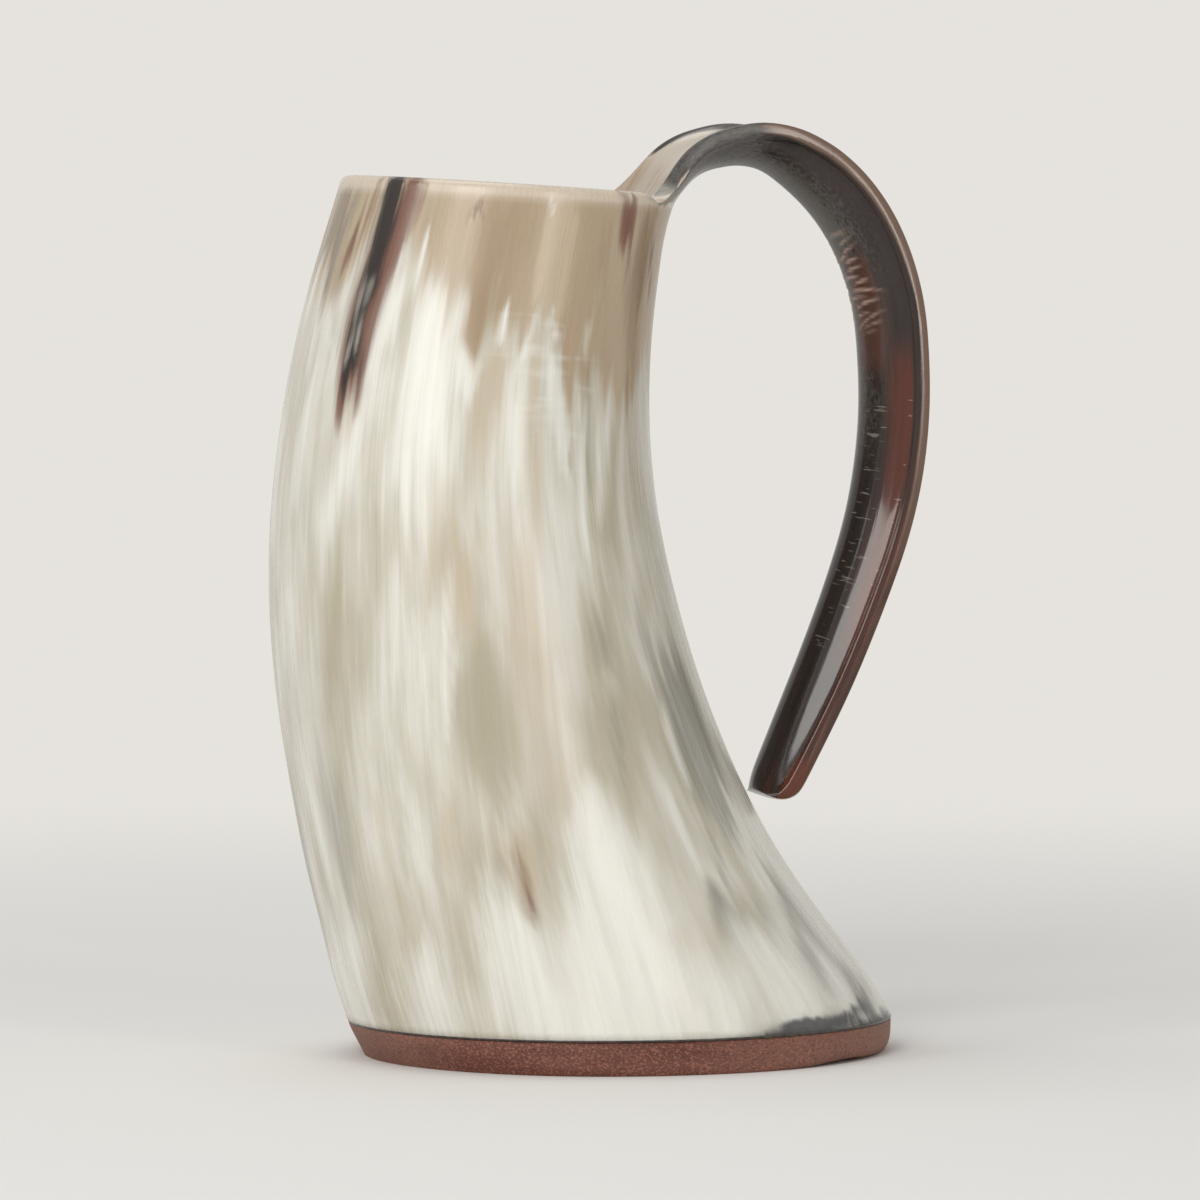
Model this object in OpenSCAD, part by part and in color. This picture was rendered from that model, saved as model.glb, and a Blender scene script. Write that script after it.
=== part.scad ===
// Horn drinking cup: a tankard cut from one curved horn. The wide end of the horn is the foot,
// closed by a wooden base. The narrow end is the mouth, and the rest of the horn is left as a
// strip that is bent over into the handle. +Z is up and +X points to the handle.
// The origin lies on the table, at the middle of the foot. Lengths are in millimetres.

/* [Horn body] */
// Height of the lip at the back of the cup, where it is highest
body_height = 150.5; // [130:0.5:175]
// How much lower the lip is beside the handle
lip_drop = 3.7; // [1:0.1:5]
// Length of the foot, from the back to the handle side
foot_length = 94.4; // [84:0.2:108]
// Width of the foot, from side to side
foot_width = 83; // [74:0.5:96]
// Length of the mouth, from the back to the handle side
mouth_length = 56.4; // [50:0.2:66]
// Width of the mouth, from side to side
mouth_width = 54; // [48:0.5:64]
// How far the belly stands back from the middle of the foot
lean = 29.4; // [20:0.2:35]
// Level thickness of the horn's wall at its foot
foot_wall = 3.1; // [2.2:0.1:4]
// Level thickness of the horn's wall at its mouth
mouth_wall = 3.4; // [2.4:0.1:4.2]
// Height of the rounding on top of the lip
lip_round = 1.8; // [0.8:0.1:2.4]

/* [Handle] */
// How far the inside of the grip stands out from the top of the body
handle_reach = 34.8; // [29:0.2:42]
// How far the inside of the loop rises above its root
handle_rise = 6.9; // [5.5:0.1:9]
// How far the tip hangs below the root
handle_drop = 100; // [86:1:112]
// Gap between the tip of the handle and the body
tip_gap = 1.4; // [0.5:0.1:4]
// Width of the strip where it grows out of the lip
root_width = 33; // [28:0.5:38]
// Width of the strip over the top of the loop
strip_width = 20; // [17:0.5:24]
// Width of the grip near its tip
tip_width = 14.5; // [12:0.5:17]
// Depth of the strip over the top of the loop, from its crest to its edges
arch_depth = 6.9; // [5.5:0.1:9]
// Depth of the grip, where the horn is solid
grip_depth = 10.2; // [8:0.1:12.5]
// Depth of the tip, from its crest to its edges
tip_depth = 7; // [5:0.1:8]
// Thickness of the cut edges of the strip
edge_thickness = 3.1; // [2.4:0.1:3.8]
// How far the wall bends outwards below the handle
root_flare = 1; // [0.4:0.1:2]
// Height over which the wall bends outwards
flare_height = 6; // [4:0.5:10]

/* [Wooden base] */
// Height of the visible wooden band, with the resin line above it
base_thickness = 6.1; // [5:0.1:8]
// How far the spigot reaches up inside the horn
spigot_height = 8; // [5:0.5:12]
// Height of the rounding of the lower edge at the sides
base_round = 1; // [0.6:0.1:2]
// Height of the rounding of the lower edge at the back
base_back_round = 5.2; // [2:0.1:5.4]
// Height of the rounding of the lower edge below the handle
base_front_round = 3.6; // [1.5:0.1:4.6]

/* [Resin] */
// Thickness of the dark resin line between the horn and the wood
seam_thickness = 0.4; // [0.2:0.05:0.8]
// Gap between the spigot and the horn, which resin fills
glue_gap = 0.15; // [0.1:0.05:0.3]
// Size of the resin bead that seals the spigot inside the cup
seal_size = 3; // [1.5:0.1:4]

/* [Hidden] */

// Colours of the horn, the wood and the resin
horn_colour = "ivory";
handle_colour = "#3a2722";
wood_colour = "#6f4236";
resin_colour = "#2b2724";

// Facets across the handle's root and round the rest of the body
root_sides = 10;
body_sides = 44;
// Rings up the outside and down the inside of the body, over its lip and round the base's edge
outer_rings = 26;
inner_rings = 16;
lip_rings = 6;
edge_rings = 5;
// Rings along the handle's root, along its loop and grip, and round its tip
root_rings = 12;
grip_rings = 40;
tip_rings = 5;

// Shape of the horn, each point [share of body_height, share of the named size], foot to mouth.
// Half length and half width run from the mouth's size at 0 to the foot's at 1.
length_shares = [[0, 0.9], [0.023, 0.97], [0.046, 1], [0.09, 0.956], [0.16, 0.81], [0.275, 0.622],
                 [0.41, 0.478], [0.55, 0.35], [0.686, 0.222], [0.823, 0.12], [0.915, 0.06], [1, 0]];
width_shares = [[0, 0.9], [0.023, 0.97], [0.046, 1], [0.09, 0.96], [0.16, 0.85], [0.275, 0.69],
                [0.41, 0.53], [0.55, 0.375], [0.686, 0.235], [0.823, 0.12], [0.915, 0.055], [1, 0]];
// How far the middle of each section stands back, as a share of lean
lean_shares = [[0, 0], [0.046, 0.069], [0.09, 0.178], [0.137, 0.3], [0.229, 0.525], [0.32, 0.693],
               [0.411, 0.827], [0.503, 0.924], [0.6, 0.985], [0.686, 1], [0.777, 0.975], [0.87, 0.907],
               [1, 0.762]];

// The crest line of the handle, along the inside of the loop, from its root to its tip.
// Over the top: [share of handle_reach, share of handle_rise]
rise_shares = [[0.05, 0.34], [0.108, 0.61], [0.172, 0.8], [0.26, 0.93], [0.362, 1], [0.485, 0.89],
               [0.595, 0.49]];
// Down the far side: [share of handle_reach, share of handle_drop]
fall_shares = [[0.705, 0], [0.812, 0.046], [0.9, 0.104], [0.965, 0.175], [0.992, 0.25], [1, 0.352]];
// From the grip back to the tip: [share of the way from tip to grip, share of handle_drop]
return_shares = [[0.955, 0.45], [0.86, 0.545], [0.7, 0.647], [0.492, 0.757], [0.252, 0.875]];

// The handle's section along its crest line, each point [share of its length, share]
// Width along the root, from strip_width at 0 to root_width at 1
root_width_shares = [[0, 1], [0.04, 0.86], [0.12, 0.74], [0.3, 0.44], [0.55, 0.14], [1, 0]];
// Depth, from arch_depth at 0 to grip_depth at 1
depth_shares = [[0, 0], [0.08, 0.05], [0.13, 0.36], [0.18, 0.8], [0.25, 0.98], [0.36, 1], [1, 1]];
// Depth of the grip, from grip_depth at 0 to tip_depth at 1
taper_shares = [[0, 0], [0.55, 0.03], [0.7, 0.22], [0.85, 0.42], [1, 1]];
// Depth at the middle of the section, as a share of the depth at its edges
middle_shares = [[0, 0.55], [0.12, 0.6], [0.3, 0.78], [0.5, 0.97], [0.65, 1.04], [1, 1.2]];
// How full the crest is: 0 is a parabola, and 1 is a half ellipse
fullness_share = 0.86;
// Length over which the lip's section turns into the handle's
root_length = 11;
// Rounding of the handle's cut edges, and how square they are: 1 is a half ellipse, 0 is flat
edge_round = 0.8;
edge_flatness_share = 0.45;
// Rounding of the tip, at its crest and at its edges
tip_round = 1.2;
tip_end_round = 4.6;
// Angle at which the tip is cut aslant
tip_slant = 10;
// Angle round the lip over which its rounding grows beside the handle
lip_fade = 4;
// Width of the base's rounding, as a share of its height
base_round_share = 0.52;
// Clearance between the inner seal and the horn
seal_clearance = 0.05;

// A share from 0 to 1 that starts and ends gently
function smooth(t) = let (c = min(max(t, 0), 1)) c * c * (3 - 2 * c);
function mix(a, b, t) = a + (b - a) * t;
// Evenly spaced values from a to b, in a number of steps
function steps(a, b, count) = [for (k = [0 : count]) mix(a, b, k / count)];

// The value at u of a smooth curve through points [u, value]
function slope_at(p, i) = let (a = max(i - 1, 0), b = min(i + 1, len(p) - 1))
    (p[b][1] - p[a][1]) / (p[b][0] - p[a][0]);
function curve_at(p, u, i = 0) = i < len(p) - 2 && u > p[i + 1][0]
    ? curve_at(p, u, i + 1)
    : let (h = p[i + 1][0] - p[i][0], t = (u - p[i][0]) / h)
        (2 * t ^ 3 - 3 * t ^ 2 + 1) * p[i][1] + (t ^ 3 - 2 * t ^ 2 + t) * h * slope_at(p, i)
        + (3 * t ^ 2 - 2 * t ^ 3) * p[i + 1][1] + (t ^ 3 - t ^ 2) * h * slope_at(p, i + 1);

// The horn's wall ends below the rounding of its lip
wall_height = body_height - lip_round;
// The shares of the height at which the horn starts, the spigot ends and the seal ends
flange_share = (base_thickness - seam_thickness) / wall_height;
seam_share = base_thickness / wall_height;
spigot_share = (base_thickness + spigot_height) / wall_height;
seal_share = (base_thickness + spigot_height + seal_size) / wall_height;

// The horn's section at a share u of its height
function half_length(u) = mix(mouth_length, foot_length, curve_at(length_shares, u)) / 2;
function half_width(u) = mix(mouth_width, foot_width, curve_at(width_shares, u)) / 2;
function middle_x(u) = -lean * curve_at(lean_shares, u);
function wall_at(u) = mix(foot_wall, mouth_wall, u);

// Half the angle of the lip from which the handle grows
root_angle = asin(root_width / mouth_width);

// How far the wall is bent outwards at share u and angle q from the handle
function flare_at(u, q) = root_flare * max(1 - (1 - u) * wall_height / flare_height, 0) ^ 2
    * smooth(1 - abs(q) / (2 * root_angle));
function front_x(u) = middle_x(u) + half_length(u) + flare_at(u, 0);
function back_x(u) = middle_x(u) - half_length(u);

// How far a section tilts down towards the handle: level up to the seal, and most at the lip
function drop_at(u) = lip_drop * max(u - seal_share, 0) / (1 - seal_share);

// A point of the horn at share u and angle q, inset from its outer face and raised
function horn_point(u, q, inset, rise = 0) = let (
    x = middle_x(u) + (half_length(u) - inset) * cos(q) + flare_at(u, q),
    y = (half_width(u) - inset) * sin(q)
) [x, y, u * wall_height - drop_at(u) * (x - back_x(u)) / (front_x(u) - back_x(u)) + rise];

// The angles of the facets' corners, from -180 to 180, with the handle's root at 0
ring_angles = concat(
    steps(-root_angle, root_angle, root_sides),
    [root_angle + lip_fade / 2],
    steps(root_angle + lip_fade, 360 - root_angle - lip_fade, body_sides),
    [360 - root_angle - lip_fade / 2]
);
function signed(q) = q > 180 ? q - 360 : q;
function horn_ring(u, inset) = [for (q = ring_angles) horn_point(u, signed(q), inset)];

// Joins closed rings of equal length into a solid, with a cap at each end or, if looped,
// with the last ring joined to the first. A ring that isn't convex gives its cap's faces.
module ring_solid(rings, looped = false, cap = []) {
    count = len(rings[0]);
    levels = len(rings);
    spans = looped ? levels : levels - 1;
    walls = [for (k = [0 : spans - 1], i = [0 : count - 1]) let (
        a = k * count,
        b = (k + 1) % levels * count,
        j = (i + 1) % count
    ) each [[a + i, b + i, b + j], [a + i, b + j, a + j]]];
    first = len(cap) > 0 ? cap : [[for (i = [0 : count - 1]) i]];
    last = [for (face = first) [for (i = [len(face) - 1 : -1 : 0]) (levels - 1) * count + face[i]]];
    ends = looped ? [] : concat(first, last);
    polyhedron(points = [for (r = rings) each r], faces = concat(walls, ends), convexity = 6);
}

// How far the lip's rounding is raised at angle q: none where the handle grows out of it
function lip_rise(q) = lip_round * smooth((abs(q) - root_angle) / lip_fade);

module horn_body() {
    outer = [for (u = steps(seam_share, 1, outer_rings)) horn_ring(u, 0)];
    lip = [for (k = [1 : lip_rings - 1]) let (
        turn = 180 * k / lip_rings,
        inset = mouth_wall * (1 - cos(turn)) / 2
    ) [for (q = ring_angles) horn_point(1, signed(q), inset, lip_rise(signed(q)) * sin(turn))]];
    inner = [for (u = concat(steps(1, seal_share, inner_rings), [spigot_share, seam_share]))
        horn_ring(u, wall_at(u))];
    color(horn_colour) ring_solid(concat(outer, lip, inner), looped = true);
}

// The handle's crest line as points [x, z], led in by a point on the body below its root
root_point = [front_x(1), wall_height - lip_drop];
grip_x = root_point[0] + handle_reach;
tip_z = root_point[1] - handle_drop;
tip_x = front_x(tip_z / wall_height) + tip_gap;
lead_in = flare_height / 4;
crest_line = concat(
    [[front_x(1 - lead_in / wall_height), root_point[1] - lead_in]],
    [root_point],
    [for (p = rise_shares) root_point + [p[0] * handle_reach, p[1] * handle_rise]],
    [for (p = fall_shares) root_point + [p[0] * handle_reach, -p[1] * handle_drop]],
    [for (p = return_shares) [mix(tip_x, grip_x, p[0]), root_point[1] - p[1] * handle_drop]],
    [[tip_x, tip_z]]
);
// The length of the crest line up to each of its points
function run_to(i) = i == 0 ? 0 : run_to(i - 1) + norm(crest_line[i] - crest_line[i - 1]);
crest_x = [for (i = [0 : len(crest_line) - 1]) [run_to(i), crest_line[i][0]]];
crest_z = [for (i = [0 : len(crest_line) - 1]) [run_to(i), crest_line[i][1]]];
root_run = run_to(1);
crest_length = run_to(len(crest_line) - 1) - root_run;

function crest_at(s) = [curve_at(crest_x, root_run + s), curve_at(crest_z, root_run + s)];
function crest_direction(s) = let (
    e = crest_length / (8 * grip_rings),
    d = crest_at(min(s + e, crest_length)) - crest_at(s - e)
) d / norm(d);
// The direction across the strip: along the lip at first, square to the crest line past the root
lip_tilt = atan(lip_drop / (front_x(1) - back_x(1)));
function across(s) = let (
    d = crest_direction(s),
    n = mix([-cos(lip_tilt), sin(lip_tilt)], [-d[1], d[0]], smooth(s / root_length))
) n / norm(n);

// The strip's width, its depth from crest to edges, and its depth at the middle, at length s
function strip_width_at(s) = s < root_length
    ? mix(strip_width, root_width, curve_at(root_width_shares, s / root_length))
    : mix(strip_width, tip_width, smooth((s - root_length) / (crest_length - root_length)));
function depth_at(s) = let (t = s / crest_length)
    mix(mix(arch_depth, grip_depth, curve_at(depth_shares, t)), tip_depth, curve_at(taper_shares, t));
function middle_depth_at(s) = depth_at(s) * curve_at(middle_shares, s / crest_length);
// How far the crest falls back at v, from 0 at the middle to 1 at an edge
function crest_fall(v) = (1 - sqrt(1 - (fullness_share * v) ^ 2)) / (1 - sqrt(1 - fullness_share ^ 2));

// The cut edges turn in the same steps as the lip's rounding
edge_turns = [for (k = [1 : lip_rings - 1]) 180 * k / lip_rings];
// The section at length s as points [across the width, depth]: the crest, then the outer face
function strip_section(s) = let (
    w = strip_width_at(s) / 2,
    depth = depth_at(s),
    sag = depth - edge_thickness,
    middle = middle_depth_at(s),
    v = steps(-1, 1, root_sides),
    edge = [for (turn = edge_turns) [
        w - edge_round * (1 - sin(turn) ^ edge_flatness_share),
        mix(sag, depth, (1 - cos(turn)) / 2)
    ]]
) concat(
    [for (t = v) [(w - edge_round) * t, sag * crest_fall(t)]],
    edge,
    [for (t = v) [(edge_round - w) * t, mix(middle, depth, t ^ 2)]],
    [for (k = [lip_rings - 2 : -1 : 0]) [-edge[k][0], edge[k][1]]]
);
// The lip's own section of the strip's width there, in the same order
function lip_section(s) = let (
    q = asin(strip_width_at(s) / mouth_width),
    v = steps(-1, 1, root_sides),
    outer = [for (t = v) lip_offset(q * t, 0)],
    inner = [for (t = v) lip_offset(-q * t, mouth_wall)],
    right = [outer[root_sides], inner[0]],
    left = [inner[root_sides], outer[0]]
) concat(
    outer, [for (turn = edge_turns) mix(right[0], right[1], (1 - cos(turn)) / 2)],
    inner, [for (turn = edge_turns) mix(left[0], left[1], (1 - cos(turn)) / 2)]
);
function lip_offset(q, inset) = let (p = horn_point(1, q, inset))
    [p[1], norm([root_point[0] - p[0], root_point[1] - p[2]])];

// One ring of the handle at length s, its crest and its edges drawn in to round the tip
function handle_ring(s, crest_inset = 0, edge_inset = 0) = let (
    centre = crest_at(s),
    d = crest_direction(s),
    n = across(s),
    lip_part = 1 - smooth(s / root_length),
    strip = strip_section(s),
    lip = lip_section(s),
    depth = depth_at(s),
    w = strip_width_at(s) / 2,
    slant = tan(tip_slant) * smooth(2 * s / crest_length - 1)
) [for (i = [0 : len(strip) - 1]) let (
    p = mix(strip[i], lip[i], lip_part),
    y = p[0] * (1 - crest_inset / w),
    h = mix(crest_inset, depth - edge_inset, p[1] / depth),
    at = centre + n * h + d * slant * h
) [at[0], y, at[1]]];

module handle() {
    tip_start = crest_length - tip_end_round;
    root = [for (s = steps(0, root_length, root_rings)) handle_ring(s)];
    grip = [for (k = [1 : grip_rings]) handle_ring(mix(root_length, tip_start, k / grip_rings))];
    tip = [for (k = [1 : tip_rings]) let (turn = 90 * k / tip_rings)
        handle_ring(tip_start + tip_end_round * sin(turn), tip_round * (1 - cos(turn)),
                    tip_end_round * (1 - cos(turn)))];
    // The caps are laced across from the crest to the outer face
    far = 2 * root_sides + lip_rings;
    cap = concat(
        [for (k = [0 : root_sides - 1]) each [[k, k + 1, far - k - 1], [k, far - k - 1, far - k]]],
        [[for (k = [0 : lip_rings]) root_sides + k], concat([for (k = [0 : lip_rings - 1]) far + k], [0])]
    );
    color(handle_colour) ring_solid(concat(root, grip, tip), cap = cap);
}

// A level ring of the horn's outline, for what lies below or inside the horn
function level_ring(u, inset) = [for (q = ring_angles)
    let (p = horn_point(u, signed(q), inset)) [p[0], p[1], u * wall_height]];

// The height of the rounding of the base's lower edge at angle q, largest at both ends.
// It is round below the handle, and turns into a flat bevel at the back.
function base_round_at(q) = let (c = cos(q))
    mix(base_round, c < 0 ? base_back_round : base_front_round, smooth(c ^ 2));

module wooden_base() {
    foot = [for (k = [0 : edge_rings]) let (turn = 90 * k / edge_rings)
        [for (q = ring_angles) let (
            r = base_round_at(signed(q)),
            inset = base_round_share * r * mix(1 - sin(turn), cos(turn), smooth(-cos(q))),
            p = horn_point(flange_share, signed(q), inset)
        ) [p[0], p[1], r * (1 - cos(turn))]]];
    spigot = [for (u = [flange_share, seam_share, spigot_share]) level_ring(u, wall_at(u) + glue_gap)];
    color(wood_colour) ring_solid(concat(foot, [level_ring(flange_share, 0)], spigot));
}

module resin_seam() {
    color(resin_colour) ring_solid([
        level_ring(flange_share, 0),
        level_ring(seam_share, 0),
        level_ring(seam_share, wall_at(seam_share)),
        level_ring(flange_share, wall_at(flange_share))
    ], looped = true);
}

module inner_seal() {
    bead_share = mix(spigot_share, seal_share, 0.3);
    color(resin_colour) ring_solid([
        level_ring(spigot_share, wall_at(spigot_share) + seal_clearance),
        level_ring(seal_share, wall_at(seal_share) + seal_clearance),
        level_ring(seal_share, wall_at(seal_share) + seal_size / 8),
        level_ring(bead_share, wall_at(bead_share) + seal_size / 3),
        level_ring(spigot_share, wall_at(spigot_share) + seal_size)
    ], looped = true);
}

horn_body();
handle();
wooden_base();
resin_seam();
inner_seal();
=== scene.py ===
import math

import bpy
import numpy as np
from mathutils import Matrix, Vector, kdtree, noise


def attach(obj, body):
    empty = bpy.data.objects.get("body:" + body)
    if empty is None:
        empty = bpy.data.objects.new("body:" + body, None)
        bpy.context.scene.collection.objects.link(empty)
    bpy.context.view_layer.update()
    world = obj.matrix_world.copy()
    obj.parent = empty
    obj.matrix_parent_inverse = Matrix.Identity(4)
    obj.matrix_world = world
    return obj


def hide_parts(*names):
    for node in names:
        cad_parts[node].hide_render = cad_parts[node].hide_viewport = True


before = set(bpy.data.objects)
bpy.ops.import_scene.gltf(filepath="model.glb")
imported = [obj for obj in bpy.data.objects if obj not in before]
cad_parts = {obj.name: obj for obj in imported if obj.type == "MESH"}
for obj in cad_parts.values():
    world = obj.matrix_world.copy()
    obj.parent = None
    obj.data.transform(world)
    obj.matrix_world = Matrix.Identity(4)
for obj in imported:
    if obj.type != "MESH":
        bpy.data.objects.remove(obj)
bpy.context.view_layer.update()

mm = 0.001
mergeGap = 0.03 * mm  # points of a copy that are nearer than this become one
flat = 0.02  # mm: a point nearer than this to a plane lies on it
quadAngles = (50, 60)  # two triangles that differ by less than these degrees become one quad
noise.seed_set(1)  # otherwise noise_vector starts from the clock, and no two runs are alike
print("frame loaded:", sorted(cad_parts))


def linear(hexColour):  # sRGB hex to the linear colour that the shaders take
    parts = [int(hexColour[i:i + 2], 16) / 255 for i in (1, 3, 5)]
    return [p / 12.92 if p <= 0.04045 else ((p + 0.055) / 1.055) ** 2.4 for p in parts] + [1.0]


def smooth(t):  # 0 below 0 and 1 above 1, with a gentle start and end
    c = np.clip(t, 0, 1)
    return c * c * (3 - 2 * c)


def ramp(value, start, full):  # 0 at start and 1 at full, whichever of the two is larger
    return smooth((value - start) / (full - start))


def bell(value, width):  # 1 at 0, and less and less on both sides
    return np.exp(-(value / width) ** 2)


def linesThrough(table, u):  # straight lines through rows [place, value]
    return np.interp(u, *np.array(table, float).T)


def curveThrough(table, u):  # smooth curve through rows [place, value], as in the part's source
    x, y = np.array(table, float).T
    slope = np.empty(len(x))
    slope[1:-1] = (y[2:] - y[:-2]) / (x[2:] - x[:-2])
    slope[0], slope[-1] = (y[1] - y[0]) / (x[1] - x[0]), (y[-1] - y[-2]) / (x[-1] - x[-2])
    i = np.clip(np.searchsorted(x, u) - 1, 0, len(x) - 2)
    h = x[i + 1] - x[i]
    t = (u - x[i]) / h
    return ((2 * t**3 - 3 * t**2 + 1) * y[i] + (t**3 - 2 * t**2 + t) * h * slope[i]
            + (3 * t**2 - 2 * t**3) * y[i + 1] + (t**3 - t**2) * h * slope[i + 1])


def copyNodes(name, nodes):  # one merged mesh from copies of CAD nodes, with the handle's strip marked
    bpy.ops.object.select_all(action="DESELECT")
    for node in nodes:
        piece = bpy.data.objects.new(node + "_copy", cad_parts[node].data.copy())
        bpy.context.scene.collection.objects.link(piece)
        group = piece.vertex_groups.new(name="strip")
        group.add(range(len(piece.data.vertices)), 1.0 if node == "handle" else 0.0, "REPLACE")
        piece.select_set(True)
        bpy.context.view_layer.objects.active = piece
    if len(nodes) > 1:
        bpy.ops.object.join()
    piece = bpy.context.object
    piece.name = piece.data.name = name
    piece.data.materials.clear()
    bpy.ops.mesh.customdata_custom_splitnormals_clear()
    bpy.ops.object.mode_set(mode="EDIT")
    bpy.ops.mesh.select_all(action="SELECT")
    bpy.ops.mesh.remove_doubles(threshold=mergeGap)
    bpy.ops.mesh.select_all(action="DESELECT")
    bpy.ops.object.mode_set(mode="OBJECT")
    return piece


def selectNothing(piece):
    for part in (*piece.data.vertices, *piece.data.edges, *piece.data.polygons):
        part.select = False


def pick(piece, kind, test):  # selects faces or edges by the place of their points, then goes to edit mode
    bpy.context.tool_settings.mesh_select_mode = (False, kind == "EDGE", kind == "FACE")
    selectNothing(piece)
    where = [v.co / mm for v in piece.data.vertices]
    for part in (piece.data.polygons if kind == "FACE" else piece.data.edges):
        part.select = all(test(where[i]) for i in part.vertices)
    bpy.ops.object.mode_set(mode="EDIT")


def finishPiece(piece, levels):  # quads, subdivision and smooth shading
    bpy.ops.object.mode_set(mode="OBJECT")
    bpy.ops.object.mode_set(mode="EDIT")
    bpy.ops.mesh.select_all(action="SELECT")
    bpy.ops.mesh.tris_convert_to_quads(face_threshold=math.radians(quadAngles[0]),
                                       shape_threshold=math.radians(quadAngles[1]))
    bpy.ops.object.mode_set(mode="OBJECT")
    bpy.ops.object.modifier_add(type="SUBSURF")
    piece.modifiers[-1].levels = piece.modifiers[-1].render_levels = levels
    bpy.ops.object.modifier_apply(modifier=piece.modifiers[-1].name)
    bpy.ops.object.shade_smooth()


def points(piece):  # where the piece's points are, in mm
    co = np.empty(len(piece.data.vertices) * 3)
    piece.data.vertices.foreach_get("co", co)
    return co.reshape(-1, 3) / mm


def moveTo(piece, place):
    piece.data.vertices.foreach_set("co", (place * mm).ravel())
    piece.data.update()


def keep(piece, name, values):  # stores a number or a vector for each point, for the shader
    vector = np.ndim(values) == 2
    layer = piece.data.attributes.new(name, "FLOAT_VECTOR" if vector else "FLOAT", "POINT")
    layer.data.foreach_set("vector" if vector else "value", np.asarray(values, np.float32).ravel())


def aimAt(thing, aim):
    thing.rotation_mode = "QUATERNION"
    thing.rotation_quaternion = (Vector(aim) - thing.location).to_track_quat("-Z", "Y")


def add(tree, kind, inputs=None, **settings):  # a node with its settings, and values or links by socket
    node = tree.nodes.new("ShaderNode" + kind)
    for name, value in settings.items():
        setattr(node, name, value)
    for name, value in (inputs or {}).items():
        if isinstance(value, bpy.types.NodeSocket):
            tree.links.new(value, node.inputs[name])
        else:
            node.inputs[name].default_value = value
    return node


def startMaterial(name):
    material = bpy.data.materials.new(name)
    material.use_nodes = True
    material.node_tree.nodes.clear()
    return material, material.node_tree


def seenBy(tree, *rays):  # 1 for any of these kinds of ray
    path = add(tree, "LightPath")
    seen = path.outputs[rays[0]]
    for ray in rays[1:]:
        seen = add(tree, "Math", {0: seen, 1: path.outputs[ray]}, operation="MAXIMUM").outputs[0]
    return seen


def layered(tree, colour, layers):  # lays colours over each other, from rows [amount, colour]
    for amount, tint in layers:
        colour = add(tree, "Mix", {0: amount, 6: colour, 7: tint}, data_type="RGBA").outputs[2]
    return colour


# the stage: camera, lamps, sky and floor
stage = {
    "aim": (-4.8 * mm, 1.5 * mm, 77.5 * mm),
    "cameraPlace": (-413.6 * mm, -1335.5 * mm, 150 * mm),
    "lens": 244.9, "sensor": 36,  # mm
    "sight": (0.05, 60),  # the nearest and the farthest that the camera sees, m
    # [name, place, aim, width, height, watts, colour]
    "lamps": [
        ["keySoftbox", (-0.85, -1.15, 0.8), (0, 0, 0.08), 0.6, 1.0, 9.1, "#fffdf9"],
        ["edgeStrip", (0.46, -1.25, 0.3), (0, 0, 0.09), 0.15, 1.1, 3.1, "#fffaf4"],
        ["leftSoftbox", (-1.25, -0.42, 0.78), (0, 0, 0.08), 0.28, 0.75, 2.6, "#fbfbfd"],
        ["topSoftbox", (-0.1, 0.35, 1.5), (0, 0, 0.05), 1.0, 0.8, 5.0, "#ffffff"],
    ],
    "sky": "#f3f4f6",
    "skyLight": 0.40,
    "floorSize": 8.0,
    "litPaper": "#f3f1ed",  # matt paper near the object, where the shadow lies
    "paper": "#e6e3de",  # the same paper where it has become the backdrop
    "paperRoughness": 0.9,
    "fade": (0.15, 0.6),  # from the one to the other, m from the middle
}
bpy.ops.object.select_all(action="DESELECT")
bpy.ops.object.camera_add(location=stage["cameraPlace"])
camera = bpy.context.object
aimAt(camera, stage["aim"])
camera.data.lens = stage["lens"]
camera.data.sensor_width = stage["sensor"]
camera.data.clip_start, camera.data.clip_end = stage["sight"]
bpy.context.scene.camera = camera

for name, place, aim, wide, high, watts, tint in stage["lamps"]:
    bpy.ops.object.light_add(type="AREA", location=place)
    lamp = bpy.context.object
    lamp.name = name
    aimAt(lamp, aim)
    lamp.data.shape = "RECTANGLE"
    lamp.data.size, lamp.data.size_y = wide, high
    lamp.data.energy = watts
    lamp.data.color = linear(tint)[:3]

world = bpy.context.scene.world or bpy.data.worlds.new("studio")
bpy.context.scene.world = world
world.use_nodes = True
tree = world.node_tree
tree.nodes.clear()
seen = seenBy(tree, "Is Camera Ray", "Is Glossy Ray", "Is Transmission Ray")
soft = add(tree, "Background", {"Color": linear(stage["sky"]), "Strength": stage["skyLight"]})
glow = add(tree, "Background", {"Color": linear(stage["paper"]), "Strength": 1.0})
both = add(tree, "MixShader", {0: seen, 1: soft.outputs[0], 2: glow.outputs[0]})
add(tree, "OutputWorld", {"Surface": both.outputs[0]})

# Seamless paper, matt: it fades into the backdrop, so that no horizon shows.
bpy.ops.object.select_all(action="DESELECT")
bpy.ops.mesh.primitive_plane_add(size=stage["floorSize"])
floor = bpy.context.object
floor.name = "paper_floor"
material, tree = startMaterial("seamless_paper_matt")
spot = add(tree, "TexCoord").outputs["Object"]
far = add(tree, "VectorMath", {0: spot}, operation="LENGTH")
fade = add(tree, "MapRange", {"Value": far.outputs["Value"], 1: stage["fade"][0], 2: stage["fade"][1]},
           interpolation_type="SMOOTHSTEP")
seen = seenBy(tree, "Is Camera Ray", "Is Glossy Ray")
faded = add(tree, "Math", {0: fade.outputs[0], 1: seen}, operation="MULTIPLY")
matt = add(tree, "BsdfPrincipled", {"Base Color": linear(stage["litPaper"]),
                                    "Roughness": stage["paperRoughness"]})
glow = add(tree, "Emission", {"Color": linear(stage["paper"]), "Strength": 1.0})
both = add(tree, "MixShader", {0: faded.outputs[0], 1: matt.outputs[0], 2: glow.outputs[0]})
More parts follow.
